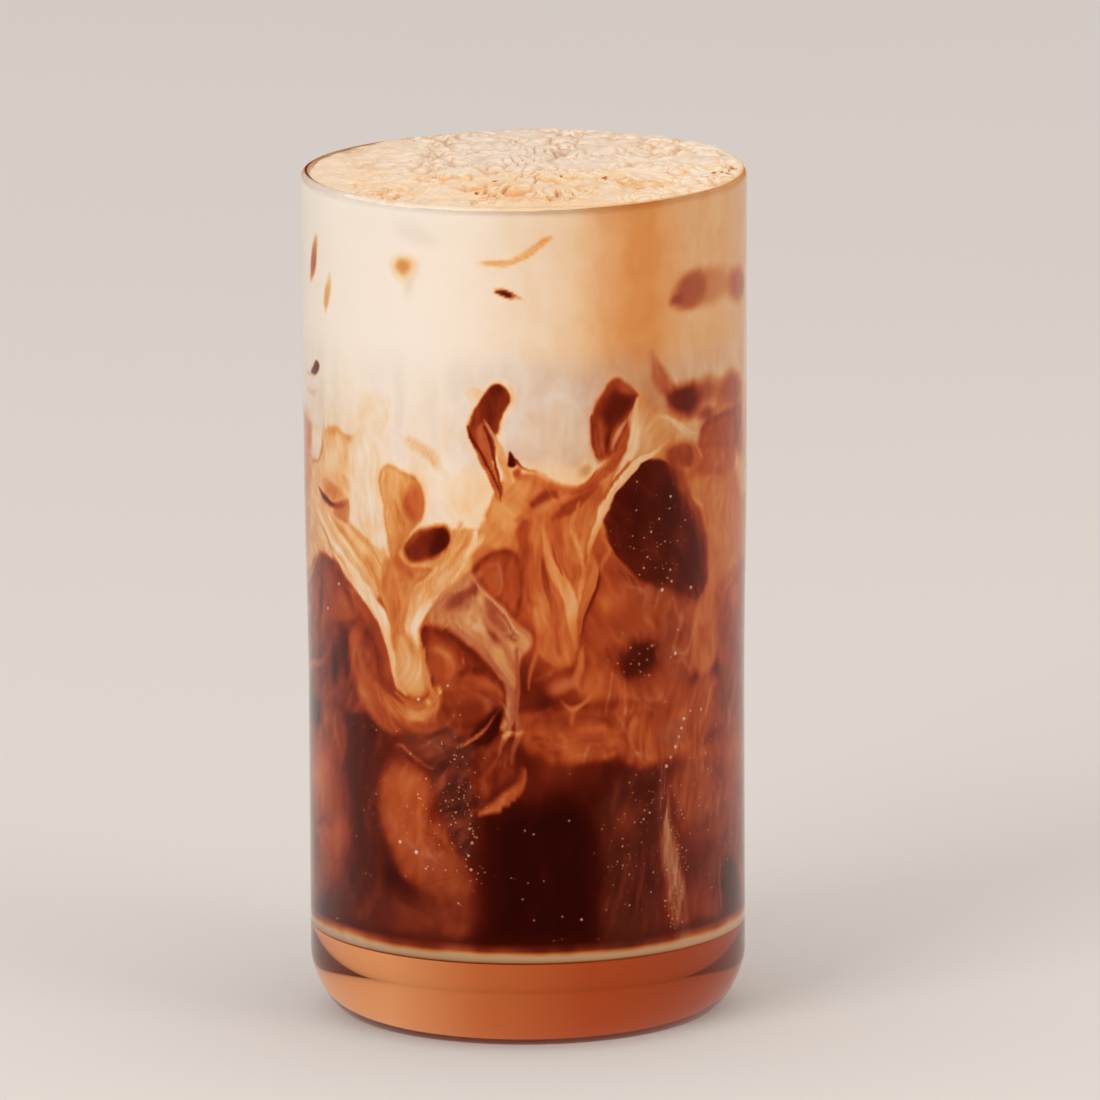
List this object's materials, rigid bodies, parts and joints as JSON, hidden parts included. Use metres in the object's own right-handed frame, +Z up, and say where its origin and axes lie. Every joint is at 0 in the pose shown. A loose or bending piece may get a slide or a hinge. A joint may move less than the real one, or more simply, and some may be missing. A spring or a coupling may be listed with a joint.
{
  "type": "iced latte",
  "caption": "Tall straight glass of iced coffee, with milk swirling down into it and a cap of cold froth level with the rim.",
  "frame": {"origin": "centre of the foot, at the height of the surface that the glass stands on", "axes": "+Z up along the glass's axis, -Y towards the side that the picture shows"},
  "size_m": [0.075, 0.075, 0.1447],
  "materials": {
    "clear_glass": "clear, fire-polished, smooth",
    "coffee": "dark red-brown liquid against the glass, with ice in it",
    "milk": "milk marbled with coffee, from cream to caramel",
    "froth": "soft matt froth with fine bubbles"
  },
  "bodies": {
    "root": {"glass": "clear_glass", "coffee": "coffee", "milk": "milk", "froth": "froth"}
  },
  "joints": []
}
